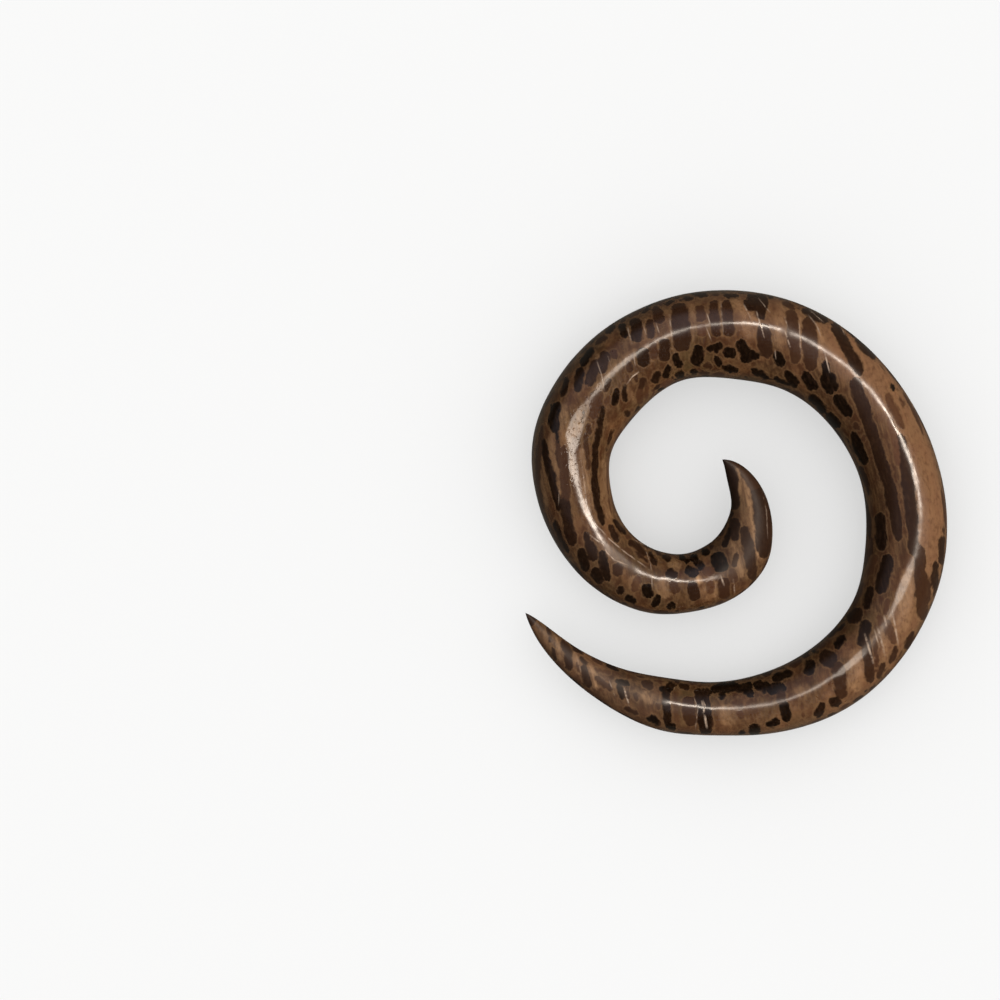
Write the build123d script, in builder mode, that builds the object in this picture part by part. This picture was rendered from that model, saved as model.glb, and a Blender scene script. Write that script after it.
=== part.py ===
from build123d import *
import math
import os
from collections import namedtuple

# One spiral ear taper of palm wood, in millimetres: a round horn that curls about its eye, thickest at the
# crown of the coil and drawn out to a point at each end. It lies on a surface, and +Z is up.

gauge = 10.0  # thickness of the body at its crown, which is the size it is sold by
coil_reach = 24.6  # from the eye out to the centreline, where the coil is widest

# The body as a caliper reads it round the coil. turn is in degrees anticlockwise about the eye, seen from above.
# reach is the centreline's distance from the eye as a share of coil_reach, and girth is the thickness as a share
# of gauge. The unevenness is the carver's: one flat under the tail, and shallow ones along the coil.
Section = namedtuple("Section", "turn reach girth")
tail_tip = Section(-150, 0.872, 0)
foot = Section(-48, 0.975, 0.79)
hip = Section(-11, 0.991, 0.90)
flank = Section(132, 0.680, 0.94)
curl_tip = Section(421, 0.294, 0)
body_sections = [
    Section(-144, 0.861, 0.15),
    Section(-135, 0.855, 0.26),
    Section(-115, 0.852, 0.44),
    Section(-97, 0.866, 0.60),
    Section(-85, 0.881, 0.60),
    Section(-70, 0.916, 0.67),
    foot,
    Section(-24, 1.000, 0.83),
    hip,
    Section(10, 0.972, 0.89),
    Section(30, 0.944, 0.90),
    Section(57, 0.900, 0.96),
    Section(75, 0.851, 1.00),
    Section(94, 0.809, 0.94),
    Section(113, 0.745, 0.95),
    flank,
    Section(148, 0.632, 0.90),
    Section(168, 0.544, 0.84),
    Section(190, 0.466, 0.77),
    Section(216, 0.395, 0.73),
    Section(245, 0.338, 0.70),
    Section(272, 0.301, 0.66),
    Section(300, 0.287, 0.67),
    Section(326, 0.281, 0.64),
    Section(350, 0.271, 0.53),
    Section(375, 0.273, 0.40),
    Section(395, 0.277, 0.30),
    Section(409, 0.286, 0.18),
]


def centre(section):
    """Where the centreline passes a section, with the eye as the origin."""
    turn = math.radians(section.turn)
    return Vector(math.cos(turn), math.sin(turn), 0) * coil_reach * section.reach


def radius(section):
    return gauge * section.girth / 2


def resting_plane():
    """The plane that foot, hip and flank all touch from above, which is how the thinner side dips."""
    to_foot = centre(foot) - centre(hip)
    to_flank = centre(flank) - centre(hip)
    foot_drop = radius(foot) - radius(hip)
    flank_drop = radius(flank) - radius(hip)
    spread = to_foot.X * to_flank.Y - to_foot.Y * to_flank.X
    lean_x = (foot_drop * to_flank.Y - flank_drop * to_foot.Y) / spread
    lean_y = (flank_drop * to_foot.X - foot_drop * to_flank.X) / spread
    lean_z = math.sqrt(1 - lean_x**2 - lean_y**2)
    return Plane(origin=(0, 0, 0), x_dir=(1, 0, 0), z_dir=(lean_x, lean_y, lean_z))


with BuildLine() as centreline:
    spine = Spline(*[centre(section) for section in (tail_tip, *body_sections, curl_tip)])

with BuildPart() as flat_taper:
    for section in body_sections:
        point = centre(section)
        along = spine.tangent_at(spine.param_at_point(point))
        with BuildSketch(Plane(origin=point, z_dir=along)):
            Circle(radius(section))
    loft(sections=[Vertex(*centre(tail_tip)), *flat_taper.pending_faces, Vertex(*centre(curl_tip))])

leaned = resting_plane().to_local_coords(flat_taper.part)
box = leaned.bounding_box()
with BuildPart() as spiral_taper:
    add(leaned.moved(Location((-box.center().X, -box.center().Y, -box.min.Z))))

spiral_taper.part.label = "spiral_taper"
os.makedirs("parts", exist_ok=True)
export_step(spiral_taper.part, "parts/spiral_taper.step")
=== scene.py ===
import math
import bpy
import numpy as np
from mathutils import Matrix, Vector


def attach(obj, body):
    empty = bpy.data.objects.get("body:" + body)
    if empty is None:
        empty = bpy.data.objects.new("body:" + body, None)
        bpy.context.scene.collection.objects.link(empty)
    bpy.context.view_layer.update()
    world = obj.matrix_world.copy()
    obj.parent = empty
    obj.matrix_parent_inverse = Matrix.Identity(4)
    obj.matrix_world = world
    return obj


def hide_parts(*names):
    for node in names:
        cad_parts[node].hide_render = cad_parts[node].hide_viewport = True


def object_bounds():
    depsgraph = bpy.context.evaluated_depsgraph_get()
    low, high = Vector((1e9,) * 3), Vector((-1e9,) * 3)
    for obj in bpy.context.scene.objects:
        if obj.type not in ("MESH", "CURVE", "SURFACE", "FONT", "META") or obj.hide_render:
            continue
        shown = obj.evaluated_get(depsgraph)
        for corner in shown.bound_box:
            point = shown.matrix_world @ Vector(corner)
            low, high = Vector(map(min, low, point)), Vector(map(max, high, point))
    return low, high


# A spiral ear taper of polished palm wood, on a pale floor under a soft light, seen from straight above.

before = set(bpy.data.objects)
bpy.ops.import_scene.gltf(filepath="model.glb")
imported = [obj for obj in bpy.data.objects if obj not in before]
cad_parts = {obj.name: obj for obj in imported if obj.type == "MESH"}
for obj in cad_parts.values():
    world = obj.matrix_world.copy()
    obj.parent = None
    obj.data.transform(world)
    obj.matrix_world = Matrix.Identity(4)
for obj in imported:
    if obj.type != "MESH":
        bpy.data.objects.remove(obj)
cadLow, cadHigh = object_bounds()
cadSize = cadHigh - cadLow
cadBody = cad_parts["spiral_taper"]
mm = 0.001
print("frame loaded, %.1f x %.1f x %.1f mm" % tuple(cadSize / mm))


# The camera and the lamps, set out first because the facets are filed to catch the shine

view = {
    "height": 0.45,  # above the middle of the coil
    "frameWidth": 0.1118,
    "over": (-0.02638, 0.00143),
}
studio = {
    "floorSide": 3.0,
    "floorColour": (0.44, 0.44, 0.44, 1),
    "floorGlow": (0.46, 0.46, 0.455, 1),
    "floorMirrored": (0.13, 0.13, 0.115, 1),
    "floorBounce": (0.10, 0.09, 0.08, 1),
    "skyShown": (0.85, 0.85, 0.85, 1),
    "skyFill": (1.12, 1.12, 1.12, 1),
    "skyGlow": (1.1, 1.05, 1.2, 1),
    "skyDark": (0.02, 0.02, 0.022, 1),
    "glowTilt": 33.0,  # degrees from straight above
    "glowTurn": 115.0,
    "glowReach": 42.0,  # degrees from its middle to its edge
    "lampAt": (0.508, 0.400, 0.90),
    "lampSide": 0.05,
    "lampPower": 24.5,
    "lampColour": (1.0, 0.87, 0.74),
    "windowAt": (0.75, -0.10, 0.90),
    "windowSide": 0.9,
    "windowPower": 36.0,
}


# The body: a blank drawn out along the coil, fitted to the CAD solid, then carved

body = {
    "eye": (-0.1073, -0.0065),  # the middle of the curl, as shares of the coil's width and length
    "eyeHeight": 0.432,  # share of the coil's height
    "climb": (0.0113, 0.0350),  # how much the coil rises along X and along Y as it lies
    "reach": 0.493,  # eye to centreline where the coil is widest, as a share of its length
    "gauge": 0.983,  # thickest place, as a share of the coil's height
    "sides": 32,
    "stations": 168,
    "smoothing": 2,
    "rasp": ((5 * mm, 0.07 * mm), (1.6 * mm, 0.02 * mm)),  # size and depth of the marks left on the surface
    "margin": 0.01,  # mm that it keeps inside the CAD solid's box
    # the blank: turn about the eye in degrees, way out as a share of reach, girth as a share of gauge
    "blank": [
        (-150.2, 0.874, 0.02), (-135, 0.855, 0.26), (-97, 0.866, 0.60), (-48, 0.975, 0.79),
        (-11, 0.991, 0.90), (30, 0.944, 0.90), (75, 0.851, 1.00), (113, 0.745, 0.95),
        (148, 0.632, 0.90), (190, 0.466, 0.77), (245, 0.338, 0.70), (300, 0.287, 0.67),
        (350, 0.271, 0.53), (395, 0.277, 0.30), (421.5, 0.290, 0.03),
    ],
    # turn, and how far outward the section's crest stands from its middle there, as a share of the radius
    "crest": [
        (-150, 0.20), (-75, 0.19), (-60, 0.13), (-45, -0.02), (-20, -0.09), (0, 0.07), (25, -0.01),
        (50, -0.03), (75, 0.05), (90, 0.02), (108, 0.04), (123, 0.14), (136, 0.25), (149, 0.27),
        (163, 0.20), (185, 0.17), (210, 0.17), (250, 0.08), (270, 0.13), (420, 0.08),
    ],
    # facets filed along the crest to face the shine lamp: turn, spread in degrees, and depth in mm
    "facets": [
        (122, 18, 0.011), (143, 10, 0.095), (158, 12, 0.030), (180, 15, 0.026), (210, 12, 0.030),
        (12, 11, 0.012), (44, 18, 0.004), (-18, 7, 0.050), (-42, 7, 0.030), (-55, 9, 0.007),
        (-70, 15, 0.004),
    ],
}
eye = Vector((body["eye"][0] * cadSize.x, body["eye"][1] * cadSize.y, body["eyeHeight"] * cadSize.z))
reach = body["reach"] * cadSize.y
gauge = body["gauge"] * cadSize.z
blankTurn, blankOut, blankGirth = np.array(body["blank"]).T
fineTurns = np.linspace(blankTurn[0], blankTurn[-1], 900)  # close steps round the coil, to find places by


def readTable(where, table):
    # what a table of places and values says at a place, such as a turn about the eye
    places, values = np.array(table).T
    return np.interp(where, places, values)


def eased(turn, table, soft=5):
    # the same, with the table's corners rounded over some degrees
    steps = np.arange(-soft, soft + 1)
    weights = 1 + np.cos(math.pi * steps / (soft + 1))
    return sum(w * readTable(turn + s, table) for s, w in zip(steps, weights)) / weights.sum()


def middleAt(turn):
    out = reach * np.interp(turn, blankTurn, blankOut)
    x, y = out * np.cos(np.radians(turn)), out * np.sin(np.radians(turn))
    z = body["climb"][0] * x + body["climb"][1] * y
    return np.stack([eye.x + x, eye.y + y, eye.z + z], -1)


def radiusAt(turn):
    return gauge * np.interp(turn, blankTurn, blankGirth) / 2


def deselectAll():
    if bpy.context.object and bpy.context.object.mode != "OBJECT":
        bpy.ops.object.mode_set(mode="OBJECT")
    bpy.ops.object.select_all(action="DESELECT")


def drawBlank():
    # a ring at the tail, extruded ring by ring round the coil, with the last drawn to a point
    turns = np.linspace(blankTurn[0], blankTurn[-1], body["stations"])
    middles, radii = middleAt(turns), radiusAt(turns)
    # the way that the coil runs at each ring, as an angle
    headings = np.unwrap(np.arctan2(*np.gradient(middles, axis=0).T[1::-1]))
    deselectAll()
    bpy.ops.mesh.primitive_circle_add(
        vertices=body["sides"], radius=radii[0], fill_type="NGON",
        location=middles[0], rotation=(math.pi / 2, 0, headings[0] + math.pi / 2),
    )
    blank = bpy.context.object
    blank.name = blank.data.name = "spiralTaper"
    bpy.ops.object.transform_apply(location=True, rotation=True, scale=True)
    bpy.ops.object.mode_set(mode="EDIT")
    bpy.ops.mesh.select_all(action="SELECT")
    for i in range(1, len(turns)):
        middle = Vector(middles[i])
        bpy.ops.mesh.extrude_region_move(TRANSFORM_OT_translate={"value": middle - Vector(middles[i - 1])})
        bpy.ops.transform.rotate(value=headings[i - 1] - headings[i], orient_axis="Z", center_override=middle)
        bpy.ops.transform.resize(value=[radii[i] / radii[i - 1]] * 3, center_override=middle)
    bpy.ops.mesh.merge(type="CENTER")
    bpy.ops.object.mode_set(mode="OBJECT")
    return blank


def closeTail(piece):
    # the first ring is drawn together into the tail's point
    first = piece.data.vertices[0].co.copy()
    acrossRing = 2.5 * float(radiusAt(blankTurn[0]))  # a little over its width
    for v in piece.data.vertices:
        v.select = (v.co - first).length < acrossRing
    bpy.ops.object.mode_set(mode="EDIT")
    bpy.ops.mesh.select_mode(type="VERT")
    bpy.ops.mesh.merge(type="CENTER")
    bpy.ops.mesh.select_all(action="SELECT")
    bpy.ops.mesh.normals_make_consistent(inside=False)
    bpy.ops.object.mode_set(mode="OBJECT")


def addModifier(piece, kind, **settings):
    bpy.context.view_layer.objects.active = piece
    bpy.ops.object.modifier_add(type=kind)
    for name, value in settings.items():
        setattr(piece.modifiers[-1], name, value)


def applyAll(piece):
    bpy.context.view_layer.objects.active = piece
    for modifier in list(piece.modifiers):
        bpy.ops.object.modifier_apply(modifier=modifier.name)


def readVectors(items, name):
    values = np.empty(len(items) * 3)
    items.foreach_get(name, values)
    return values.reshape(-1, 3)


def coilPlace(points):
    # for each point: its turn about the eye, the body's middle there, and the way outward
    middles = middleAt(fineTurns)
    along = np.gradient(middles, axis=0)
    outward = np.stack([along[:, 1], -along[:, 0], np.zeros(len(along))], -1)
    outward /= np.linalg.norm(outward, axis=1, keepdims=True)
    nearest = np.empty(len(points), int)
    batch = 4000  # points measured at a time, to spare memory
    for start in range(0, len(points), batch):
        some = points[start:start + batch, None, :2] - middles[None, :, :2]
        nearest[start:start + batch] = np.argmin((some ** 2).sum(2), axis=1)
    return fineTurns[nearest], middles[nearest], outward[nearest]


def shineTilt(points, outward):
    # how far outward a surface leans, in radians, where the camera sees the shine lamp in it
    toLamp = np.array(studio["lampAt"]) - points
    toCamera = np.array((*view["over"], view["height"] + cadSize.z / 2)) - points
    toLamp /= np.linalg.norm(toLamp, axis=1, keepdims=True)
    toCamera /= np.linalg.norm(toCamera, axis=1, keepdims=True)
    between = toLamp + toCamera
    return np.arctan2((between * outward).sum(1), between[:, 2])


def crestHeight(turn, height):
    # how high the body stands at each point's turn, read every 2 degrees and evened out over three of them
    place = (turn - blankTurn[0]) / 2
    nearest = np.round(place).astype(int)
    highest = np.zeros(nearest.max() + 1)
    np.maximum.at(highest, nearest, height)
    highest = np.convolve(np.pad(highest, 1, mode="edge"), np.ones(3) / 3, mode="valid")
    return np.interp(place, range(len(highest)), highest)


def carve(piece):
    mesh = piece.data
    points = readVectors(mesh.vertices, "co")
    normals = readVectors(mesh.vertex_normals, "vector")
    turn, middle, outward = coilPlace(points)
    # the crest is drawn outward
    lift = np.clip(normals[:, 2], 0, 1) ** 2
    points += outward * (eased(turn, body["crest"]) * radiusAt(turn) * lift)[:, None]
    # each facet takes what stands above it
    tilt = shineTilt(middle, outward)[:, None]
    facing = outward * np.sin(tilt) + np.array((0, 0, 1)) * np.cos(tilt)
    height = ((points - middle) * facing).sum(1)
    crest = crestHeight(turn, height)
    for place, spread, depth in body["facets"]:
        near = 1 - ((turn - place) / spread) ** 2
        over = np.clip(height - crest + depth * mm * near, 0, None) * (near > 0)
        points -= facing * over[:, None]
        height -= over
    # the camera sees what lies low drawn in a little, so each section is moved out by as much
    points[:, :2] += (points[:, :2] - view["over"]) * (cadSize.z / 2 - middle[:, 2:]) / view["height"]
    margin = Vector((body["margin"], body["margin"])) * mm
    points[:, :2] = points[:, :2].clip(cadLow.xy + margin, cadHigh.xy - margin)
    mesh.vertices.foreach_set("co", points.ravel())
    mesh.update()
    return turn, middle, outward


def makeBody():
    blank = drawBlank()
    closeTail(blank)
    addModifier(blank, "SHRINKWRAP", target=cadBody, wrap_method="NEAREST_SURFACEPOINT")
    addModifier(blank, "SUBSURF", levels=body["smoothing"], render_levels=body["smoothing"])
    for size, depth in body["rasp"]:
        marks = bpy.data.textures.new("raspMarks", "CLOUDS")
        marks.noise_basis = "IMPROVED_PERLIN"
        marks.noise_scale = size
        addModifier(blank, "DISPLACE", texture=marks, texture_coords="GLOBAL", strength=depth, mid_level=0.5)
    applyAll(blank)
    places = carve(blank)
    bpy.ops.object.shade_smooth()
    return blank, places


spiralTaper, pointPlaces = makeBody()
print("body drawn, %d faces" % len(spiralTaper.data.polygons))


# The wood

wood = {
    "seed": 5,
    "lean": 0.20,  # how far a fibre steps left for each step towards the crown
    "fan": 0.0067,  # how much more it leans per mm to the right
    "block": (34.0, 7.0),  # mm that thin fibres are packed in, to each side of the eye and up and down
    "thin": ((0.62, 0.85, 450), (0.48, 0.62, 1500), (0.28, 0.42, 2600)),  # radius from and to in mm, tries
    "thinShade": 0.6,  # the lightest of the thin fibres, where 0 is dark and 1 is like the ground
    "thinBelow": 0.50,  # height that thin fibres stay under, as a share of the radius
    "thinFade": 0.15,  # share of the radius over which they shrink away above it
    "thinShrink": 0.9,  # how far they have shrunk by then, mm
    "wall": 0.10,  # least ground between two thin fibres, mm
    "wander": (0.5, 7.0),  # how far a thin fibre strays, and over what length, mm
    "swell": (0.10, 11.0),  # how much it swells and shrinks, and over what length, mm
    "fuller": 0.04,  # how far a thin fibre reaches past its packed edge, mm
    "clear": 0.20,  # ground kept round a broad fibre, mm
    "chartShift": (0.07, -0.08),  # from the eye to the point that the charts count from, mm
    "spread": 0.05,  # how far a broad fibre reaches past its charted edge, mm
    "blunt": 3.5,  # how square a broad fibre's ends are, where 2 is an oval
    "drawIn": (0.2, 0.7),  # how far under the body's middle broad fibres start to shrink, mm, and how fast
    # painted glints: the brightness that each painted highlight along a sliver loses towards its ends
    "sliverDim": 0.8,  # how much of its brightness a sliver loses at its ends
    # the pale streaks include painted sheen
    "streakEdge": 0.5,  # width of a pale streak's soft edge, mm
    # turn, and how much paler the outer side's ground is there: partly the wood's own paler tone, partly
    # painted light on the side that faces the window lamp
    "paleAndLitSide": [(-80, 0.2), (-50, 0.5), (-30, 0.8), (0, 1.0), (45, 1.0), (62, 0.7), (90, 0.3), (120, 0.0)],
    # place across the body, as a share of the radius outward, and how much of that shows there
    "paleAndLitAcross": [(-0.1, 0.0), (0.4, 1.0), (0.85, 1.0), (1.0, 0.0)],
    # turn, and how pitted the polish is there
    "pitted": [(118, 0.0), (140, 1.0), (160, 1.0), (175, 0.0)],
    # turn, and how matt the polish is there
    "matt": [
        (-150, 1.00), (-101, 0.95), (-97, 0.23), (-90, 0.24), (-80, 0.28), (-70, 0.31), (-52, 0.31),
        (-47, 0.31), (-42, 0.34), (-36, 0.58), (-29, 0.58), (-24, 0.36), (-15, 0.39), (-8, 0.49),
        (-2, 0.48), (3, 0.38), (8, 0.35), (14, 0.36), (22, 0.31), (28, 0.34), (36, 0.38), (51, 0.39),
        (56, 0.39), (60.9, 0.38), (62.3, 0.85), (63.7, 0.37), (70, 0.32), (75, 0.26), (80, 0.21),
        (90, 0.24), (98, 0.27), (105, 0.29), (112, 0.31), (165, 0.31), (178, 0.29), (195, 0.35),
        (205, 0.58), (222, 0.58), (227, 0.42), (231, 0.38), (240, 0.35), (250, 0.32), (262, 0.24),
        (270, 0.25), (280, 0.27), (288, 0.30), (296, 0.60), (306, 1.00), (420, 1.00),
    ],
}

# The broad fibres, as they come to the surface: width, shade from dark to ground, and then the places that
# they run through. Widths and places are shares of the gauge, and places count from the eye, right and up.
broadFibres = {
    "crown": [
        (0.19, 0.1, 0.61, 2.39, 0.88, 2.36), (0.10, 0.1, 0.74, 2.38, 0.82, 2.19),
        (0.07, 0.3, 1.04, 2.38, 1.18, 2.30), (0.09, 0.1, 1.26, 2.30, 1.54, 2.16),
        (0.135, 0.35, 1.13, 2.30, 1.185, 1.69), (0.165, 0.3, 1.32, 2.21, 1.355, 1.61),
        (0.12, 0.1, 1.60, 2.15, 1.77, 1.84, 1.92, 1.56), (0.08, 0.1, 1.86, 1.97, 2.07, 1.75),
        (0.155, 0.2, 0.81, 2.14, 0.86, 1.76), (0.11, 0.0, 0.97, 1.83, 1.03, 1.66),
        (0.09, 0.0, 1.51, 1.72, 1.54, 1.52), (0.17, 0.0, 1.52, 1.60, 1.59, 1.36),
        (0.12, 0.0, 1.27, 1.60, 1.41, 1.40), (0.10, 0.0, 1.07, 1.61, 1.20, 1.43),
        (0.07, 0.0, 0.69, 1.63, 0.89, 1.52), (0.05, 0.0, 0.94, 1.54, 1.11, 1.45),
        (0.13, 0.0, 0.56, 1.96, 0.66, 1.70), (0.08, 0.0, 0.66, 1.83, 0.77, 1.76),
        (0.13, 0.25, 0.405, 2.40, 0.445, 1.99), (0.115, 0.25, 0.26, 2.40, 0.295, 1.99),
        (0.10, 0.4, 0.11, 2.35, 0.12, 2.16), (0.10, 0.75, 0.12, 2.14, 0.15, 2.00),
        (0.20, 0.2, -0.12, 2.37, -0.08, 1.83), (0.05, 0.1, -0.08, 2.42, 0.03, 2.42),
        (0.05, 0.1, 0.06, 2.47, 0.20, 2.46), (0.05, 0.1, 0.38, 2.46, 0.54, 2.44),
        (0.13, 0.0, 0.10, 1.90, 0.07, 1.67), (0.08, 0.0, 0.19, 1.85, 0.36, 1.90),
        (0.06, 0.0, 0.26, 1.92, 0.30, 1.80), (0.11, 0.0, 0.37, 1.82, 0.52, 1.80),
        (0.07, 0.0, 0.28, 1.78, 0.34, 1.66), (0.065, 0.3, 0.15, 1.67, 0.25, 1.66),
        (0.07, 0.0, 0.35, 1.66, 0.54, 1.61), (0.09, 0.0, -0.18, 1.80, -0.11, 1.65),
        (0.075, 0.0, -0.165, 1.56, -0.06, 1.59), (0.055, 0.0, 0.00, 1.60, 0.085, 1.60),
        (0.07, 0.25, -0.42, 2.30, -0.33, 2.29), (0.11, 0.25, -0.365, 2.30, -0.335, 2.14),
        (0.09, 0.2, -0.455, 2.19, -0.43, 1.97), (0.13, 0.1, -0.61, 2.20, -0.585, 1.93),
        (0.14, 0.1, -0.53, 1.87, -0.515, 1.66), (0.09, 0.45, -0.41, 1.94, -0.405, 1.74),
        (0.12, 0.15, -0.29, 1.97, -0.285, 1.72), (0.065, 0.0, -0.22, 1.68, -0.29, 1.53),
        (0.08, 0.05, -0.35, 1.61, -0.41, 1.47), (0.07, 0.2, -0.51, 1.54, -0.56, 1.40),
        (0.06, 0.3, -0.68, 1.72, -0.66, 1.60), (0.05, 0.3, -0.62, 1.58, -0.60, 1.48),
    ],
    "back": [
        (0.08, 0.05, -0.77, 2.14, -0.725, 1.98), (0.065, 0.1, -0.94, 2.04, -0.83, 2.12),
        (0.06, 0.25, -1.05, 1.91, -0.93, 1.99), (0.06, 0.4, -0.87, 1.85, -0.83, 1.75),
        (0.12, 0.15, -0.95, 1.83, -0.99, 1.58), (0.12, 0.15, -1.05, 1.73, -1.13, 1.44),
        (0.08, 0.0, -1.09, 1.87, -1.21, 1.67), (0.10, 0.05, -1.22, 1.65, -1.26, 1.38),
        (0.07, 0.05, -1.37, 1.55, -1.43, 1.32), (0.055, 0.35, -0.67, 1.71, -0.68, 1.59),
        (0.05, 0.3, -0.65, 1.56, -0.58, 1.52), (0.065, 0.2, -0.89, 1.53, -0.95, 1.38),
        (0.065, 0.0, -0.82, 1.42, -0.85, 1.22), (0.05, 0.05, -0.735, 1.47, -0.72, 1.26),
        (0.08, 0.5, -0.55, 1.42, -0.57, 1.24), (0.05, 0.55, -0.47, 1.45, -0.49, 1.30),
        (0.05, 0.1, -0.72, 1.18, -0.68, 1.10), (0.12, 0.45, -1.03, 1.40, -1.08, 1.08),
        (0.12, 0.0, -1.48, 1.26, -1.53, 1.08, -1.505, 0.92), (0.05, 0.0, -1.51, 0.98, -1.47, 0.80),
        (0.03, 0.1, -1.195, 1.17, -1.20, 1.02), (0.06, 0.3, -1.49, 0.85, -1.44, 0.52),
        (0.065, 0.35, -1.655, 1.00, -1.70, 0.60, -1.70, 0.30, -1.65, 0.00, -1.53, -0.25, -1.41, -0.42),
        (0.08, 0.05, -1.64, 0.85, -1.60, 0.62, -1.53, 0.35, -1.46, 0.05),
        (0.10, 0.35, -1.41, 0.78, -1.40, 0.45, -1.39, 0.10),
        (0.12, 0.1, -1.40, 0.20, -1.37, -0.08, -1.31, -0.34), (0.04, 0.3, -1.15, 1.02, -1.12, 0.90),
        (0.06, 0.3, -1.17, 0.92, -1.13, 0.50),
        (0.075, 0.05, -0.97, 1.22, -1.01, 0.98, -1.06, 0.72, -1.07, 0.40, -1.03, 0.10, -0.97, -0.12),
        (0.065, 0.05, -1.51, -0.06, -1.44, -0.26, -1.36, -0.42), (0.10, 0.05, -1.225, -0.37, -1.155, -0.63),
        (0.06, 0.1, -1.165, -0.19, -1.13, -0.33), (0.115, 0.1, -1.135, -0.28, -1.07, -0.51),
        (0.10, 0.05, -0.985, -0.40, -0.96, -0.58, -0.905, -0.74), (0.11, 0.05, -1.085, -0.60, -0.99, -0.76),
        (0.08, 0.1, -0.90, -0.11, -0.80, -0.30), (0.05, 0.05, -0.86, -0.05, -0.72, -0.21),
        (0.07, 0.15, -0.68, -0.29, -0.49, -0.45), (0.04, 0.2, -0.62, -0.40, -0.47, -0.53),
    ],
    "curl": [
        (0.12, 0.25, -0.80, -0.54, -0.82, -0.68), (0.07, 0.05, -0.79, -0.80, -0.77, -0.88),
        (0.07, 0.0, -0.72, -0.92, -0.60, -0.975), (0.08, 0.6, -0.58, -0.68, -0.63, -0.86),
        (0.11, 0.0, -0.49, -0.77, -0.45, -0.93), (0.07, 0.0, -0.34, -0.89, -0.41, -1.03),
        (0.08, 0.0, -0.26, -1.03, -0.165, -1.005), (0.06, 0.05, -0.455, -0.41, -0.375, -0.56),
        (0.06, 0.05, -0.30, -0.45, -0.22, -0.51), (0.065, 0.0, -0.12, -0.45, -0.01, -0.53),
        (0.11, 0.05, -0.26, -0.62, -0.15, -0.70), (0.11, 0.4, -0.19, -0.73, -0.155, -0.88),
        (0.11, 0.0, -0.05, -0.60, 0.09, -0.66), (0.12, 0.15, 0.03, -0.745, 0.05, -0.96),
        (0.09, 0.0, 0.02, -0.45, 0.145, -0.61), (0.08, 0.0, 0.13, -0.41, 0.22, -0.42),
        (0.17, 0.0, 0.29, -0.42, 0.38, -0.63), (0.07, 0.25, 0.52, -0.43, 0.49, -0.58),
        (0.07, 0.05, 0.46, -0.14, 0.38, -0.36), (0.11, 0.15, 0.50, -0.03, 0.50, -0.29),
        (0.12, 0.2, 0.60, -0.13, 0.65, -0.35, 0.69, -0.55, 0.70, -0.72),
        (0.10, 0.7, 0.145, -0.63, 0.27, -0.64), (0.09, 0.7, 0.215, -0.73, 0.24, -0.88),
        (0.13, 0.3, 0.37, -0.70, 0.39, -0.94), (0.08, 0.5, 0.46, -0.60, 0.50, -0.76),
        (0.15, 0.15, 0.36, 0.68, 0.46, 0.42, 0.495, 0.06), (0.13, 0.35, 0.40, 0.64, 0.55, 0.61, 0.66, 0.51),
        (0.16, 0.3, 0.60, 0.56, 0.70, 0.40, 0.75, 0.25),
        (0.17, 0.15, 0.72, 0.36, 0.775, 0.15, 0.80, -0.05, 0.82, -0.25, 0.83, -0.48),
        (0.08, 0.2, 0.82, 0.24, 0.87, 0.00, 0.88, -0.30),
    ],
    "broadSide": [
        (0.15, 0.15, 1.84, 1.53, 1.90, 1.30, 2.00, 1.05),
        (0.13, 0.15, 1.93, 1.20, 2.06, 0.86, 2.19, 0.45, 2.29, 0.05, 2.34, -0.28),
        (0.05, 0.0, 2.255, 1.46, 2.265, 1.39), (0.08, 0.6, 2.20, 1.36, 2.31, 1.12, 2.39, 0.96),
        (0.03, 0.5, 2.35, 1.30, 2.39, 1.22), (0.125, 0.0, 1.63, 1.34, 1.79, 1.10),
        (0.09, 0.0, 1.34, 1.34, 1.52, 1.14), (0.10, 0.0, 1.53, 1.14, 1.67, 0.98),
        (0.07, 0.35, 1.84, 1.03, 1.89, 0.95), (0.05, 0.5, 1.93, 0.90, 1.95, 0.82),
        (0.105, 0.0, 1.82, 0.93, 1.96, 0.56), (0.08, 0.85, 2.22, 1.08, 2.30, 0.80, 2.33, 0.55),
        (0.135, 0.15, 2.35, 0.90, 2.42, 0.50, 2.465, 0.15, 2.49, -0.15, 2.51, -0.46),
        (0.12, 0.05, 2.13, 0.02, 2.145, -0.40), (0.07, 0.6, 2.08, -0.45, 1.99, -0.68),
        (0.15, 0.05, 2.22, -0.44, 2.13, -0.88), (0.095, 0.05, 2.02, -0.80, 1.97, -1.06),
        (0.14, 0.1, 1.91, -1.05, 1.78, -1.20), (0.13, 0.05, 1.99, -1.17, 1.91, -1.47),
        (0.06, 0.6, 2.22, -0.93, 2.18, -1.12), (0.06, 0.7, 2.11, -1.12, 2.14, -1.24),
        (0.13, 0.25, 2.575, -0.33, 2.565, -0.60, 2.60, -1.08, 2.61, -1.17),
        (0.17, 0.25, 2.57, -0.60, 2.63, -1.00), (0.075, 0.1, 2.75, -0.52, 2.73, -0.83),
        (0.07, 0.1, 2.82, -0.22, 2.81, -0.55),
    ],
    "foot": [
        (0.08, 0.55, 2.18, -1.17, 2.29, -1.44), (0.11, 0.2, 1.96, -1.36, 2.00, -1.62, 2.02, -1.87),
        (0.045, 0.45, 2.06, -1.38, 2.09, -1.76), (0.06, 0.2, 2.18, -1.65, 2.10, -1.83),
        (0.06, 0.2, 2.31, -1.47, 2.24, -1.66), (0.065, 0.15, 2.50, -1.31, 2.42, -1.50),
        (0.13, 0.0, 1.355, -1.62, 1.32, -1.79), (0.04, 0.0, 1.36, -1.54, 1.45, -1.52),
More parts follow.
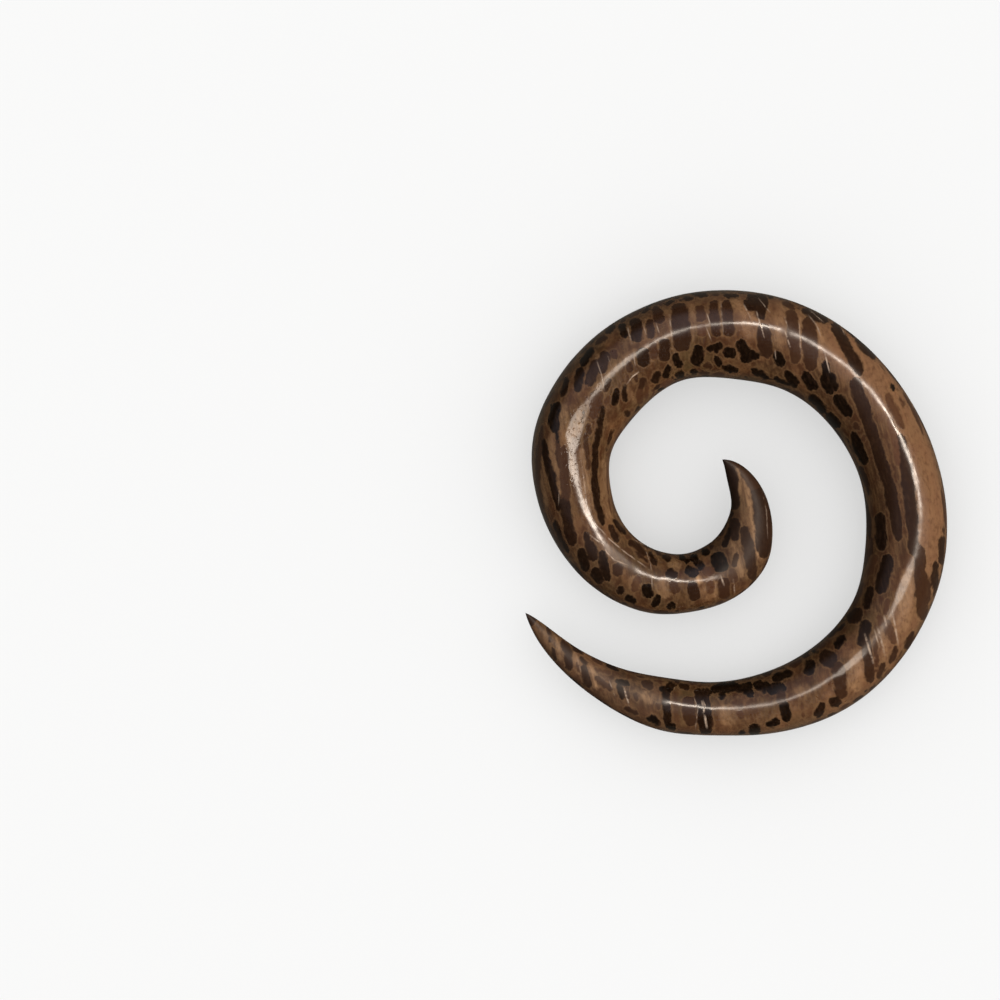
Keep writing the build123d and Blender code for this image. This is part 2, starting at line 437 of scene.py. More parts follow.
        (0.17, 0.1, 1.45, -1.57, 1.64, -1.64), (0.145, 0.25, 1.65, -1.64, 1.70, -2.05),
        (0.095, 0.0, 1.725, -1.34, 1.62, -1.49), (0.115, 0.05, 1.55, -2.08, 1.69, -2.10),
        (0.085, 0.05, 1.50, -2.10, 1.41, -2.26), (0.045, 0.7, 1.25, -1.98, 1.27, -2.26),
        (0.10, 0.25, 1.02, -1.93, 1.02, -2.12), (0.12, 0.0, 1.04, -2.09, 1.09, -2.31),
        (0.095, 0.0, 0.92, -1.83, 1.145, -1.76), (0.09, 0.0, 0.50, -1.95, 0.70, -1.90),
        (0.09, 0.0, 0.60, -1.95, 0.71, -2.02), (0.10, 0.0, 0.70, -1.90, 0.90, -1.91),
        (0.12, 0.0, 0.86, -1.95, 1.08, -1.93), (0.05, 0.0, 0.825, -1.93, 0.835, -2.01),
        (0.09, 0.0, 0.86, -2.36, 1.00, -2.29), (0.12, 0.0, 0.70, -2.34, 0.745, -2.46),
        (0.05, 0.0, 0.54, -2.44, 0.61, -2.43), (0.07, 0.7, 0.52, -2.20, 0.60, -2.27),
        (0.11, 0.0, 0.24, -1.95, 0.55, -1.91), (0.08, 0.0, 0.35, -1.92, 0.36, -2.07),
    ],
    "tail": [
        (0.09, 0.05, 0.05, -1.97, 0.24, -1.99), (0.165, 0.05, 0.13, -1.97, 0.19, -2.45),
        (0.14, 0.3, -0.03, -2.03, 0.02, -2.36), (0.08, 0.2, 0.01, -2.15, 0.03, -2.36),
        (0.06, 0.1, -0.12, -1.91, -0.01, -1.93), (0.07, 0.0, -0.34, -1.94, -0.19, -1.95),
        (0.07, 0.05, -0.26, -1.88, -0.18, -1.93), (0.085, 0.05, -0.275, -1.96, -0.26, -2.13, -0.25, -2.35),
        (0.07, 0.0, -0.28, -2.34, -0.16, -2.38), (0.06, 0.6, -0.37, -2.10, -0.35, -2.18),
        (0.08, 0.0, -0.47, -2.25, -0.34, -2.34), (0.08, 0.25, -0.54, -1.86, -0.41, -1.93),
        (0.05, 0.3, -0.74, -2.16, -0.58, -2.22), (0.05, 0.4, -0.615, -1.98, -0.605, -2.08),
        (0.06, 0.05, -0.83, -1.85, -0.68, -1.90), (0.07, 0.1, -0.80, -1.88, -0.75, -2.06),
        (0.04, 0.35, -0.71, -1.92, -0.69, -2.05), (0.07, 0.4, -1.05, -1.82, -0.87, -1.95),
        (0.04, 0.7, -1.06, -1.73, -0.89, -1.77), (0.08, 0.2, -1.19, -1.68, -1.13, -1.93),
        (0.055, 0.2, -1.23, -1.59, -1.14, -1.68), (0.03, 0.5, -1.27, -1.64, -1.24, -1.76),
        (0.08, 0.2, -1.43, -1.40, -1.36, -1.53, -1.35, -1.74), (0.04, 0.2, -1.59, -1.22, -1.56, -1.44),
        (0.05, 0.2, -1.54, -1.48, -1.50, -1.62), (0.20, 0.2, -1.88, -1.05, -1.76, -1.22),
    ],
}

# bright slivers of cut fibre that catch the light, painted in as glints: width, brightness, and the places
# that they run through
sliversAndGlints = [
    (0.016, 0.5, 1.22, 2.19, 1.24, 1.75), (0.020, 1.0, 0.745, 2.275, 0.83, 1.99),
    (0.016, 0.5, 0.77, 2.42, 0.89, 2.27), (0.020, 0.6, 0.60, 2.36, 0.68, 2.20),
    (0.020, 0.8, 1.06, 2.06, 1.12, 1.88), (0.020, 0.5, 1.06, 2.21, 1.10, 2.08),
    (0.020, 0.6, 1.33, 2.23, 1.42, 2.12, 1.46, 2.00), (0.014, 0.5, 1.34, 2.29, 1.49, 2.16),
    (0.016, 0.5, 1.66, 2.18, 1.73, 2.02), (0.020, 0.8, 1.51, 1.80, 1.56, 1.60),
    (0.016, 0.5, 0.95, 1.85, 0.96, 1.75), (0.020, 0.7, -0.70, 2.10, -0.65, 1.92),
    (0.016, 0.7, -0.38, 2.15, -0.34, 2.02), (0.014, 0.5, -0.53, 2.14, -0.49, 2.02),
    (0.018, 0.5, -1.05, 1.75, -0.99, 1.57, -0.96, 1.40), (0.014, 0.4, -0.92, 1.78, -0.88, 1.66),
    (0.016, 0.6, -0.63, 1.80, -0.61, 1.66), (0.018, 1.0, -0.70, 1.47, -0.64, 1.55, -0.57, 1.60),
    (0.018, 0.9, 0.19, 2.25, 0.225, 2.14), (0.016, 0.6, 0.18, 2.10, 0.24, 1.95),
    (0.014, 0.4, 0.345, 2.40, 0.375, 2.00), (0.020, 0.5, -0.23, 2.25, -0.20, 1.93),
    (0.024, 0.8, 0.345, -0.68, 0.38, -0.78), (0.022, 0.8, 0.485, -0.73, 0.50, -0.86),
    (0.018, 0.6, -1.05, -0.10, -0.90, -0.27, -0.72, -0.42, -0.52, -0.56, -0.44, -0.63),
    (0.014, 0.5, -0.50, -0.38, -0.44, -0.55, -0.43, -0.63), (0.014, 0.5, -0.62, -0.28, -0.50, -0.34),
    (0.018, 0.8, -1.15, -0.20, -1.05, -0.28, -0.97, -0.33, -0.93, -0.42, -0.85, -0.50, -0.70, -0.56),
    (0.014, 0.5, -0.43, -0.66, -0.42, -0.83), (0.018, 0.4, -1.20, 0.50, -1.155, 0.15, -1.13, -0.02),
    (0.014, 0.4, -1.46, 0.30, -1.47, 0.12), (0.016, 0.3, 0.80, 0.30, 0.855, 0.05, 0.87, -0.25),
    (0.014, 0.5, 0.03, -2.00, 0.09, -2.16, 0.06, -2.40), (0.030, 1.3, 0.135, -2.08, 0.19, -2.38),
    (0.014, 0.7, 0.15, -2.08, 0.175, -2.14, 0.15, -2.20), (0.024, 1.2, -0.74, -1.93, -0.68, -2.13),
    (0.016, 0.5, -0.90, -1.86, -0.84, -2.02), (0.020, 0.4, -1.26, -1.60, -1.22, -1.75),
    (0.030, 0.8, 1.955, -1.33, 2.05, -1.66), (0.030, 0.6, 2.09, -1.24, 2.13, -1.36, 2.18, -1.58),
    (0.020, 0.5, 2.06, -1.28, 2.12, -1.48), (0.026, 0.6, 2.26, -1.05, 2.33, -1.45),
    (0.030, 0.6, 2.17, -1.12, 2.20, -1.26),
]

# pale wood between the fibres, and painted sheen where the polish shines: width, strength, and the places
# that it runs through
paleStreaksAndSheen = [
    (0.11, 0.31, 0.47, 2.42, 0.56, 2.30, 0.74, 2.17), (0.10, 0.25, 1.08, 2.36, 0.98, 2.12),
    (0.10, 0.19, 0.62, 2.20, 0.68, 1.98), (0.07, 0.31, 0.03, 2.36, 0.02, 1.95),
    (0.04, 0.31, -0.25, 2.30, -0.22, 1.90), (0.10, 0.19, 0.96, 2.10, 1.02, 1.85),
    (0.03, 0.5, 0.35, 2.40, 0.355, 2.00), (0.03, 0.5, 1.235, 2.20, 1.245, 1.70),
    (0.05, 0.31, 1.42, 2.15, 1.47, 1.98, 1.45, 1.62), (0.03, 0.5, -0.49, 2.18, -0.47, 1.95),
    (0.03, 0.4, -0.665, 2.10, -0.64, 1.90), (0.12, 0.25, -1.42, 1.25, -1.40, 0.95, -1.36, 0.80),
    (0.04, 0.31, -1.22, 1.88, -1.30, 1.70), (0.03, 0.5, -1.04, 1.80, -0.98, 1.55),
    (0.06, 0.25, -0.72, 1.42, -0.66, 1.36, -0.62, 1.24),
    (0.12, 0.31, -1.20, 0.75, -1.18, 0.40, -1.12, 0.05),
    (0.09, 0.28, -0.96, 0.62, -0.95, 0.25, -0.90, -0.05),
    (0.05, 0.4, -1.47, 0.80, -1.44, 0.45, -1.45, 0.12), (0.08, 0.3, -1.56, 0.90, -1.53, 0.62, -1.47, 0.40),
    (0.06, 0.3, -1.66, 0.75, -1.66, 0.40, -1.60, 0.10), (0.11, 0.35, -1.20, 1.17, -1.24, 1.04, -1.30, 0.88),
    (0.05, 0.3, -1.10, 1.36, -0.95, 1.55, -0.78, 1.72, -0.60, 1.86),
    (0.18, 0.31, -0.31, -0.72, -0.28, -0.93), (0.12, 0.31, -0.64, -0.68, -0.60, -0.84),
    (0.10, 0.31, -0.24, -0.52, -0.10, -0.58), (0.06, 1.0, 0.08, -0.68, 0.11, -0.77),
    (0.06, 0.31, 0.28, -0.74, 0.29, -0.93), (0.08, 0.25, 0.16, -0.80, 0.18, -0.94),
    (0.05, 0.7, 0.54, 0.53, 0.555, 0.40, 0.555, 0.22),
    (0.06, 0.7, 0.59, 0.50, 0.65, 0.25, 0.685, 0.02, 0.74, -0.27, 0.78, -0.50),
    (0.12, 0.25, 0.60, 0.30, 0.62, 0.05, 0.65, -0.12), (0.09, 0.37, 0.43, -0.28, 0.52, -0.42, 0.58, -0.70),
    (0.02, 0.6, 0.57, -0.08, 0.56, -0.34), (0.12, 0.12, -1.68, -1.22, -1.60, -1.45),
    (0.07, 0.31, -1.50, -1.33, -1.45, -1.62), (0.07, 0.31, -1.30, -1.50, -1.24, -1.78),
    (0.06, 0.7, -1.12, -1.68, -1.06, -1.82, -1.05, -1.94), (0.03, 0.5, -0.86, -1.86, -0.83, -2.00),
    (0.16, 0.31, 1.86, -1.50, 1.84, -1.98), (0.16, 0.31, 2.44, -0.60, 2.40, -1.00, 2.38, -1.30),
    (0.04, 0.31, 2.23, -1.12, 2.32, -1.46), (0.05, 0.31, 2.15, -1.30, 2.20, -1.62),
    (0.10, 0.45, -0.52, -1.98, -0.42, -2.10), (0.20, 0.25, 0.42, -2.12, 0.44, -2.35),
    (0.16, 0.25, 1.18, -2.00, 1.35, -1.95),
]


# marks that come close to one another are written to channels of their own, where their edges stay sharp
channelCount = 3
farOff = 9.0  # mm, further than any mark shows


def bundleSections(rng):
    # middle, radius and channel of every thin fibre, packed with ground between them, in mm across and up
    wide, high = wood["block"]
    places, sizes, channels = np.empty((0, 2)), np.empty(0), np.empty(0, int)
    for least, most, tries in wood["thin"]:
        for _ in range(tries):
            place = rng.uniform((-wide, -high), (wide, high))
            size = rng.uniform(least, most)
            gap = np.hypot(*(places - place).T) - sizes - size
            if np.all(gap > wood["wall"]):
                room = [gap[channels == k].min(initial=farOff) for k in range(channelCount)]
                places, sizes = np.vstack([places, place]), np.append(sizes, size)
                channels = np.append(channels, np.argmax(room))
    return places, sizes, channels


def waves(points, rng, strength, length, count=5):
    # a smooth random field, from about -strength to strength
    total = np.zeros(len(points))
    for _ in range(count):
        way = rng.normal(size=3)
        way *= 2 * math.pi / (length * rng.uniform(0.7, 1.5) * np.linalg.norm(way))
        total += np.sin(points @ way + rng.uniform(0, 2 * math.pi))
    return strength * (total / math.sqrt(count))


def strokeGap(seen, wide, run):
    # distance in mm from each point to the edge of a stroke with drawn-out ends, the point's place
    # across the stroke, and how near it is to an end
    knots = np.array(run).reshape(-1, 2) * gauge / mm
    half = wide * gauge / mm / 2
    lengths = np.linalg.norm(np.diff(knots, axis=0), axis=1)
    starts = np.append(0, np.cumsum(lengths))
    least, side, reached = np.full(len(seen), np.inf), np.zeros(len(seen)), np.zeros(len(seen))
    for a, b, length, start in zip(knots[:-1], knots[1:], lengths, starts):
        along = (b - a) / length
        travelled = np.clip((seen - a) @ along, 0, length)
        offset = seen - a - travelled[:, None] * along
        distance = np.hypot(*offset.T)
        nearer = distance < least
        side = np.where(nearer, offset[:, 0] * along[1] - offset[:, 1] * along[0], side)
        reached = np.where(nearer, (start + travelled) / starts[-1], reached)
        least = np.minimum(least, distance)
    blunt, endward = wood["blunt"], np.abs(2 * reached - 1)
    return least - half * (1 - endward ** blunt) ** (1 / blunt), side, endward


def roomiest(gap, channels):
    # the channel whose marks keep furthest from a new one
    return int(np.argmax([np.maximum(gap, channels[:, k]).min() for k in range(channelCount)]))


def addAttribute(mesh, name, values):
    wide = values.ndim > 1
    attribute = mesh.attributes.new(name, "FLOAT_VECTOR" if wide else "FLOAT", "POINT")
    attribute.data.foreach_set("vector" if wide else "value", values.ravel())


def survey(piece):
    # the mesh's points, with their heights over the body's middle and the body's radius there, in mm, and
    # the places that the camera sees them at, in mm from the point that the charts count from
    points = readVectors(piece.data.vertices, "co")
    turn, middle = pointPlaces[:2]
    over = np.array(view["over"])
    grow = view["height"] / (view["height"] - (points[:, 2:] - cadSize.z / 2))
    seen = (over + (points[:, :2] - over) * grow - np.array(eye)[:2]) / mm + wood["chartShift"]
    return points, (points[:, 2] - middle[:, 2]) / mm, radiusAt(turn) / mm, seen


def thinFibres(inMm, rng):
    # each point's distance in mm to the thin fibres' edges, and the shade of the nearest
    places, sizes, channels = bundleSections(rng)
    shades = rng.uniform(0, wood["thinShade"], len(places))
    slow = inMm * (1.0, 0.45, 1.0)  # a fibre changes slowly along its length
    leaning = inMm[:, 0] + inMm[:, 1] * (wood["lean"] + wood["fan"] * inMm[:, 0])
    across = leaning + waves(slow, rng, *wood["wander"])
    up = inMm[:, 2] + waves(slow, rng, *wood["wander"])
    shrink = waves(slow, rng, *wood["swell"]) - wood["fuller"]
    edges = np.full((len(inMm), channelCount), farOff)
    tone, best = np.zeros(len(inMm)), np.full(len(inMm), farOff)
    for place, size, k, shade in zip(places, sizes, channels, shades):
        gap = np.hypot(across - place[0], up - place[1]) - size + shrink
        edges[:, k] = np.minimum(edges[:, k], gap)
        tone = np.where(gap < best, shade, tone)
        best = np.minimum(best, gap)
    return edges, tone


def chartedFibres(seen, height, tone):
    # the same for the broad fibres, which draw in below the body's widest, with the distance to the nearest
    depth, slope = wood["drawIn"]
    drawnIn = slope * np.clip(-height - depth, 0, None)
    edges, best = np.full((len(seen), channelCount), farOff), np.full(len(seen), farOff)
    for wide, shade, *run in sum(broadFibres.values(), []):
        gap = strokeGap(seen, wide, run)[0] + drawnIn - wood["spread"]
        k = roomiest(gap, edges)
        edges[:, k] = np.minimum(edges[:, k], gap)
        tone = np.where((gap < best) & (gap < wood["clear"] / 2), shade, tone)
        best = np.minimum(best, gap)
    return edges, tone, best


def markFibres(piece):
    # writes on each point the distance in mm to the nearest fibres' edges, and how light they are
    rng = np.random.default_rng(wood["seed"])
    points, height, radius, seen = survey(piece)
    thin, tone = thinFibres((points - np.array(eye)) / mm, rng)
    # the thin fibres give way to the broad ones over the top
    top = np.clip((height / radius - wood["thinBelow"]) / wood["thinFade"], 0, 1)
    thin += wood["thinShrink"] * top[:, None]
    broad, tone, nearest = chartedFibres(seen, height, tone)
    thin = np.maximum(thin, (wood["clear"] - nearest)[:, None])
    addAttribute(piece.data, "fibreEdge", np.minimum(thin, broad).clip(-1.5, 1.5))
    addAttribute(piece.data, "fibreTone", tone)


def markPaleAndPaintedLight(piece):
    # writes on each point how pale the ground is: on the outer side, with painted light where the window lamp
    # falls, and in streaks, some of which are painted sheen
    points, height, radius, seen = survey(piece)
    turn, middle, outward = pointPlaces
    share = ((points - middle) * outward).sum(1) / mm / radius
    paleAndLit = readTable(turn, wood["paleAndLitSide"]) * readTable(share, wood["paleAndLitAcross"])
    addAttribute(piece.data, "paleAndLitSide", paleAndLit)
    streak = np.zeros(len(points))
    hidden = 5 * (height < 0)  # mm, which keeps the underside clear
    for wide, strength, *run in paleStreaksAndSheen:
        gap = strokeGap(seen, wide, run)[0] + hidden
        streak = np.maximum(streak, strength * np.clip(0.5 - gap / wood["streakEdge"], 0, 1))
    addAttribute(piece.data, "paleStreakAndSheen", streak)


def markSliversAndGlints(piece):
    # writes on each point its place across the nearest slivers, how near they are, and how bright their
    # painted glint is
    _, height, _, seen = survey(piece)
    hidden = 5 * (height < 0)  # mm, which keeps the underside clear
    near, sides = np.full((len(seen), channelCount), farOff), np.zeros((len(seen), channelCount))
    bright, best = np.zeros(len(seen)), np.full(len(seen), farOff)
    for wide, strength, *run in sliversAndGlints:
        gap, side, endward = strokeGap(seen, wide, run)
        gap += hidden
        k = roomiest(gap, near)
        sides[:, k] = np.where(gap < near[:, k], side / wide * mm / gauge, sides[:, k])
        near[:, k] = np.minimum(near[:, k], gap)
        bright = np.where(gap < best, strength * (1 - wood["sliverDim"] * endward ** 3), bright)
        best = np.minimum(best, gap)
    addAttribute(piece.data, "sliverGlintSide", sides.clip(-9, 9))
    addAttribute(piece.data, "sliverGlintNear", near.clip(0, 2))
    addAttribute(piece.data, "sliverGlintBright", bright)


def markPolish(piece):
    # writes on each point the way along the coil, which it was polished in, and how matt and pitted it is
    heading = np.gradient(middleAt(fineTurns), axis=0)
    heading /= np.linalg.norm(heading, axis=1, keepdims=True)
    turn = pointPlaces[0]
    along = np.stack([np.interp(turn, fineTurns, heading[:, i]) for i in range(3)], -1)
    addAttribute(piece.data, "polishing", along)
    addAttribute(piece.data, "matt", eased(turn, wood["matt"], 2))
    addAttribute(piece.data, "pitted", readTable(turn, wood["pitted"]))


def addNode(tree, kind, links=None, **settings):
    # adds a shader node, sets it up, and feeds its sockets by name or number
    node = tree.nodes.new("ShaderNode" + kind)
    for name, value in settings.items():
        setattr(node, name, value)
    for name, value in (links or {}).items():
        if isinstance(value, bpy.types.NodeSocket):
            tree.links.new(value, node.inputs[name])
        else:
            node.inputs[name].default_value = value
    return node


def maths(tree, operation, a, b=0.0):
    return addNode(tree, "Math", {0: a, 1: b}, operation=operation).outputs[0]


def ramp(tree, value, low, high, outLow=0.0, outHigh=1.0):
    # eases a value from low to high
    places = {"Value": value, "From Min": low, "From Max": high, "To Min": outLow, "To Max": outHigh}
    return addNode(tree, "MapRange", places, interpolation_type="SMOOTHSTEP").outputs[0]


def mixColours(tree, factor, a, b):
    return addNode(tree, "Mix", {0: factor, 6: a, 7: b}, data_type="RGBA").outputs[2]


def noise(tree, where, stretch, scale, detail=2.0, roughness=0.5):
    where = addNode(tree, "Mapping", {"Vector": where, "Scale": stretch}).outputs[0]
    places = {"Vector": where, "Scale": scale, "Detail": detail, "Roughness": roughness}
    return addNode(tree, "TexNoise", places).outputs["Fac"]


def painted(tree, name, output="Fac"):
    return addNode(tree, "Attribute", attribute_name=name).outputs[output]


finish = {
    "grainTurn": -12,  # degrees from the coil's Y that the grain is turned
    "groundDark": (0.022, 0.0095, 0.0036, 1),
    "groundLight": (0.0535, 0.0265, 0.0108, 1),
    "olive": (0.030, 0.018, 0.0065, 1),
    "mottle": (0.022, 0.0075, 0.0028, 1),
    "rust": (0.072, 0.0295, 0.0115, 1),
    "rim": (0.074, 0.039, 0.0165, 1),
    # paler ground of the outer side, partly painted light from the window lamp
    "paleAndLit": (0.127, 0.0605, 0.0285, 1),
    # the colour of the pale streaks, some of which are painted sheen
    "streak": (0.18, 0.098, 0.046, 1),
    "fibreDark": (0.0026, 0.0010, 0.0003, 1),
    "fibreRed": (0.034, 0.0105, 0.0048, 1),
    "speck": (0.014, 0.006, 0.003, 1),
    # the colour of the slivers' painted glints
    "sliverGlintColour": (0.17, 0.12, 0.085, 1),
    "oliveMost": 0.6,  # how far the ground goes to each colour where it goes furthest
    "rustMost": 0.5,
    "mottleMost": 0.8,
    "grainMost": 0.5,
    "paleAndLitMost": 0.48,
    "rimMost": 0.40,
    "speckMost": 0.6,
    "lightFibre": 0.45,  # how much ground shows through the lightest fibre
    "fibreSoft": (0.10, -0.15),  # mm from a fibre's edge at which its dark starts, and is full
    "rimSoft": (0.26, 0.06),  # the same for the rim of pale ground round it
    "fray": ((-0.14, 0.11), (-0.07, 0.06)),  # how far fibres' edges stray in and out, coarse and fine, mm
    "swellHigh": 0.024,  # heights of the rasp's waves, pores, pits, fibres and slivers, mm
    "poreHigh": 0.0075,
    "pitHigh": -0.010,
    "fibreHigh": 0.004,
    "sliverHigh": 0.008,
    "uneven": (0.88, 1.12),  # how far the polish strays, so that the line of shine breaks into dashes
    "specular": 0.30,
}


def darkFibres(tree, inMm):
    # how dark the wood is with fibre, and how near a fibre's edge is
    ragged = noise(tree, inMm, (1.0, 0.45, 1.0), 1.3)
    jagged = noise(tree, inMm, (1.0, 0.6, 1.0), 3.0)
    coarse, fine = finish["fray"]
    fray = ramp(tree, ragged, 0.25, 0.75, *coarse)
    fray = maths(tree, "ADD", fray, ramp(tree, jagged, 0.25, 0.75, *fine))
    edges = addNode(tree, "SeparateXYZ", {0: painted(tree, "fibreEdge", "Vector")}).outputs
    dark = rim = 0.0
    for i in range(channelCount):
        edge = maths(tree, "ADD", edges[i], fray)
        dark = maths(tree, "MAXIMUM", dark, ramp(tree, edge, *finish["fibreSoft"]))
        rim = maths(tree, "MAXIMUM", rim, ramp(tree, edge, *finish["rimSoft"]))
    return maths(tree, "MULTIPLY", dark, ramp(tree, jagged, 0.40, 0.65, 1.0, 0.95)), rim


# painted glints: where the slivers' bright lines show in the colour
def brightSliversAndGlints(tree, inMm):
    sides = addNode(tree, "SeparateXYZ", {0: painted(tree, "sliverGlintSide", "Vector")}).outputs
    nears = addNode(tree, "SeparateXYZ", {0: painted(tree, "sliverGlintNear", "Vector")}).outputs
    shown = 0.0
    for i in range(channelCount):
        line = ramp(tree, maths(tree, "ABSOLUTE", sides[i]), 0.6, 0.15)
        close = ramp(tree, nears[i], 0.22, 0.10)
        shown = maths(tree, "MAXIMUM", shown, maths(tree, "MULTIPLY", line, close))
    broken = ramp(tree, noise(tree, inMm, (1, 1, 1), 1.6), 0.30, 0.6)
    return maths(tree, "MULTIPLY", maths(tree, "MULTIPLY", shown, broken), painted(tree, "sliverGlintBright"))


def groundColour(tree, inMm, rim):
    # streaked along the grain, mottled red and olive, paler in a thin wall round each fibre; paler still on
    # the outer side and in streaks, partly painted light and sheen
    streak = noise(tree, inMm, (3.0, 0.30, 3.0), 1.0, 3.0, 0.6)
    mottle = noise(tree, inMm, (1.0, 0.6, 1.0), 0.75, 4.0, 0.62)
    patches = noise(tree, inMm, (1.0, 0.6, 1.0), 0.16, 2.0, 0.5)
    rusty = noise(tree, inMm, (1.0, 0.4, 1.0), 0.35, 2.0, 0.5)
    grain = noise(tree, inMm, (1.0, 0.6, 1.0), 2.6, 3.0, 0.65)
    ground = mixColours(tree, ramp(tree, streak, 0.3, 0.7), finish["groundDark"], finish["groundLight"])
    olive = ramp(tree, patches, 0.45, 0.7, 0.0, finish["oliveMost"])
    ground = mixColours(tree, olive, ground, finish["olive"])
    rust = ramp(tree, rusty, 0.48, 0.70, 0.0, finish["rustMost"])
    ground = mixColours(tree, rust, ground, finish["rust"])
    mottled = ramp(tree, mottle, 0.43, 0.64, 0.0, finish["mottleMost"])
    ground = mixColours(tree, mottled, ground, finish["mottle"])
    # the outer side made paler, partly painted light where the window lamp falls
    paleAndLit = maths(tree, "MULTIPLY", painted(tree, "paleAndLitSide"), finish["paleAndLitMost"])
    ground = mixColours(tree, paleAndLit, ground, finish["paleAndLit"])
    # pale streaks between the fibres, some of them painted sheen
    streaksAndSheen = maths(tree, "MULTIPLY", painted(tree, "paleStreakAndSheen"), ramp(tree, streak, 0.2, 0.8, 0.5, 1.2))
    ground = mixColours(tree, streaksAndSheen, ground, finish["streak"])
    ground = mixColours(tree, maths(tree, "MULTIPLY", rim, finish["rimMost"]), ground, finish["rim"])
    return mixColours(tree, ramp(tree, grain, 0.45, 0.72, 0.0, finish["grainMost"]), ground, finish["mottle"])


def fibreColour(tree, inMm, tone):
    # near black to half-lost in the ground, with specks along it
    specks = noise(tree, inMm, (3.5, 0.6, 3.5), 1.0, 2.0, 0.6)
    specks = ramp(tree, specks, 0.52, 0.75, 0.0, finish["speckMost"])
    fibre = mixColours(tree, tone, finish["fibreDark"], finish["fibreRed"])
    return mixColours(tree, specks, fibre, finish["speck"])


def surfaceRelief(tree, inMm, dark, sliverGlint):
    # height in mm of shallow rasp waves, fine pores, pits, and fibres that stand a little proud
    swell = maths(tree, "MULTIPLY", noise(tree, inMm, (1, 1, 1), 0.55, 1.0), finish["swellHigh"])
    pores = maths(tree, "MULTIPLY", noise(tree, inMm, (1, 1, 1), 1.8, 2.0), finish["poreHigh"])
    pits = ramp(tree, noise(tree, inMm, (1, 1, 1), 3.0, 1.0), 0.60, 0.72, 0.0, finish["pitHigh"])
    pits = maths(tree, "MULTIPLY", pits, painted(tree, "pitted"))
    fibres = maths(tree, "MULTIPLY", dark, finish["fibreHigh"])
    proud = maths(tree, "MULTIPLY", sliverGlint, finish["sliverHigh"])
    relief = maths(tree, "ADD", maths(tree, "ADD", swell, pores), fibres)
    return maths(tree, "ADD", maths(tree, "ADD", relief, pits), proud)


def palmWood():
    material = bpy.data.materials.new("palmWood")
    material.use_nodes = True
    tree = material.node_tree
    tree.nodes.clear()
    place = addNode(tree, "TexCoord").outputs["Object"]
    inMm = addNode(tree, "Mapping", {
        "Vector": place, "Scale": (1 / mm,) * 3, "Rotation": (0, 0, math.radians(finish["grainTurn"])),
    }).outputs[0]
    dark, rim = darkFibres(tree, inMm)
    tone = painted(tree, "fibreTone")
    ground = groundColour(tree, inMm, rim)
    seeThrough = maths(tree, "MULTIPLY", tone, finish["lightFibre"])
    cover = maths(tree, "MULTIPLY", dark, maths(tree, "SUBTRACT", 1.0, seeThrough))
    colour = mixColours(tree, cover, ground, fibreColour(tree, inMm, tone))
    sliverGlint = brightSliversAndGlints(tree, inMm)
    relief = surfaceRelief(tree, inMm, dark, sliverGlint)
    uneven = ramp(tree, noise(tree, inMm, (1, 1, 1), 1.1), 0.3, 0.7, *finish["uneven"])
    shader = addNode(tree, "BsdfPrincipled", {
        # the slivers' painted glints, mixed into the wood's colour
        "Base Color": mixColours(tree, sliverGlint, colour, finish["sliverGlintColour"]),
        "Roughness": maths(tree, "MULTIPLY", painted(tree, "matt"), uneven),
        "Specular IOR Level": finish["specular"],
        "Anisotropic": 1.0,
        "Tangent": painted(tree, "polishing", "Vector"),
        "Normal": addNode(tree, "Bump", {"Height": relief, "Distance": mm, "Strength": 1.0}).outputs[0],
    })
    addNode(tree, "OutputMaterial", {"Surface": shader.outputs[0]})
    return material


markFibres(spiralTaper)
markPaleAndPaintedLight(spiralTaper)
markSliversAndGlints(spiralTaper)
markPolish(spiralTaper)
spiralTaper.data.materials.clear()
spiralTaper.data.materials.append(palmWood())
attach(spiralTaper, "root")
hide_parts("spiral_taper")
print("wood made")


# Floor, light and camera

def seenBy(tree, shown, mirrored, scattered):
    # one colour for the camera, one for what the wood mirrors, and one for the light that falls on it
    ray = addNode(tree, "LightPath").outputs
    unseen = mixColours(tree, ray["Is Glossy Ray"], scattered, mirrored)
    return mixColours(tree, ray["Is Camera Ray"], unseen, shown)


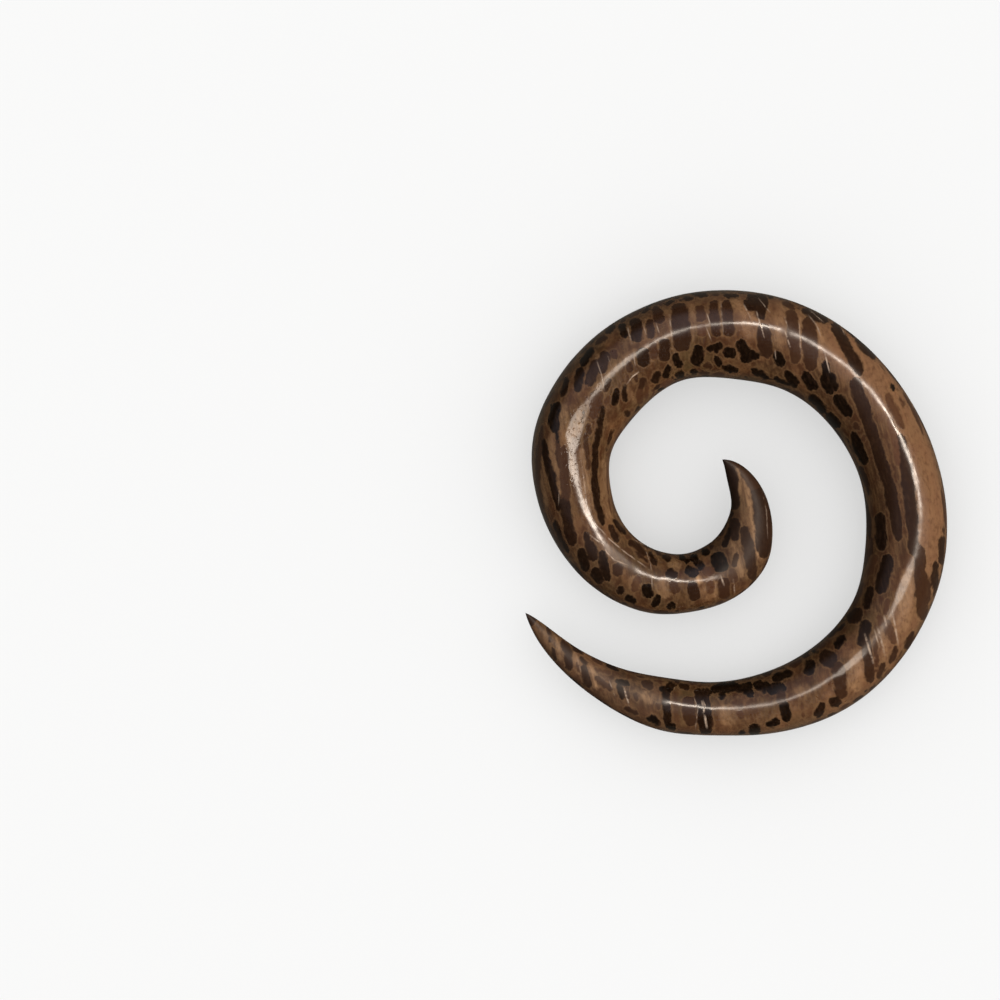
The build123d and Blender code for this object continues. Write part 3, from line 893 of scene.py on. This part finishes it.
def makeFloor():
    deselectAll()
    bpy.ops.mesh.primitive_plane_add(size=studio["floorSide"], location=(0, 0, cadLow.z))
    floor = bpy.context.object
    floor.name = "floor"
    material = bpy.data.materials.new("floorPaper")
    material.use_nodes = True
    tree = material.node_tree
    shader = tree.nodes["Principled BSDF"]
    shader.inputs["Roughness"].default_value = 0.9
    shader.inputs["Specular IOR Level"].default_value = 0.0
    paper = seenBy(tree, studio["floorColour"], studio["floorMirrored"], studio["floorBounce"])
    glow = seenBy(tree, studio["floorGlow"], (0, 0, 0, 1), (0, 0, 0, 1))
    tree.links.new(paper, shader.inputs["Base Color"])
    tree.links.new(glow, shader.inputs["Emission Color"])
    shader.inputs["Emission Strength"].default_value = 1.0
    floor.data.materials.append(material)


def makeSky():
    world = bpy.data.worlds.new("sky")
    world.use_nodes = True
    bpy.context.scene.world = world
    tree = world.node_tree
    tilt, way = math.radians(studio["glowTilt"]), math.radians(studio["glowTurn"])
    middle = (math.sin(tilt) * math.cos(way), math.sin(tilt) * math.sin(way), math.cos(tilt))
    looking = addNode(tree, "TexCoord").outputs["Generated"]
    nearness = addNode(tree, "VectorMath", {0: looking, 1: middle}, operation="DOT_PRODUCT").outputs["Value"]
    glow = ramp(tree, nearness, math.cos(math.radians(studio["glowReach"])), 1.0)
    mirrored = mixColours(tree, glow, studio["skyDark"], studio["skyGlow"])
    colour = seenBy(tree, studio["skyShown"], mirrored, studio["skyFill"])
    tree.links.new(colour, tree.nodes["Background"].inputs["Color"])


def addLamp(name, where, side, power):
    # a round lamp that faces the coil
    deselectAll()
    bpy.ops.object.light_add(type="AREA", location=where)
    lamp = bpy.context.object
    lamp.name = name
    lamp.data.shape = "DISK"
    lamp.data.size = side
    lamp.data.energy = power
    lamp.rotation_euler = (-Vector(where)).to_track_quat("-Z", "Y").to_euler()
    return lamp


def makeLights():
    # a small lamp draws the shine along the crest, and a soft window lights one side of the wood
    shine = addLamp("shineLamp", studio["lampAt"], studio["lampSide"], studio["lampPower"])
    shine.data.color = studio["lampColour"]
    shine.visible_diffuse = False
    window = addLamp("windowLamp", studio["windowAt"], studio["windowSide"], studio["windowPower"])
    window.visible_glossy = False
    lit = bpy.data.collections.new("litByWindow")
    lit.objects.link(spiralTaper)
    window.light_linking.receiver_collection = lit


def makeCamera():
    deselectAll()
    x, y = view["over"]
    bpy.ops.object.camera_add(location=(x, y, cadSize.z / 2 + view["height"]), rotation=(0, 0, 0))
    camera = bpy.context.object
    camera.data.sensor_width = 36.0
    camera.data.lens = camera.data.sensor_width * view["height"] / view["frameWidth"]
    bpy.context.scene.camera = camera


makeFloor()
makeSky()
makeLights()
makeCamera()
bpy.context.scene.view_settings.view_transform = "Standard"
print("studio ready")
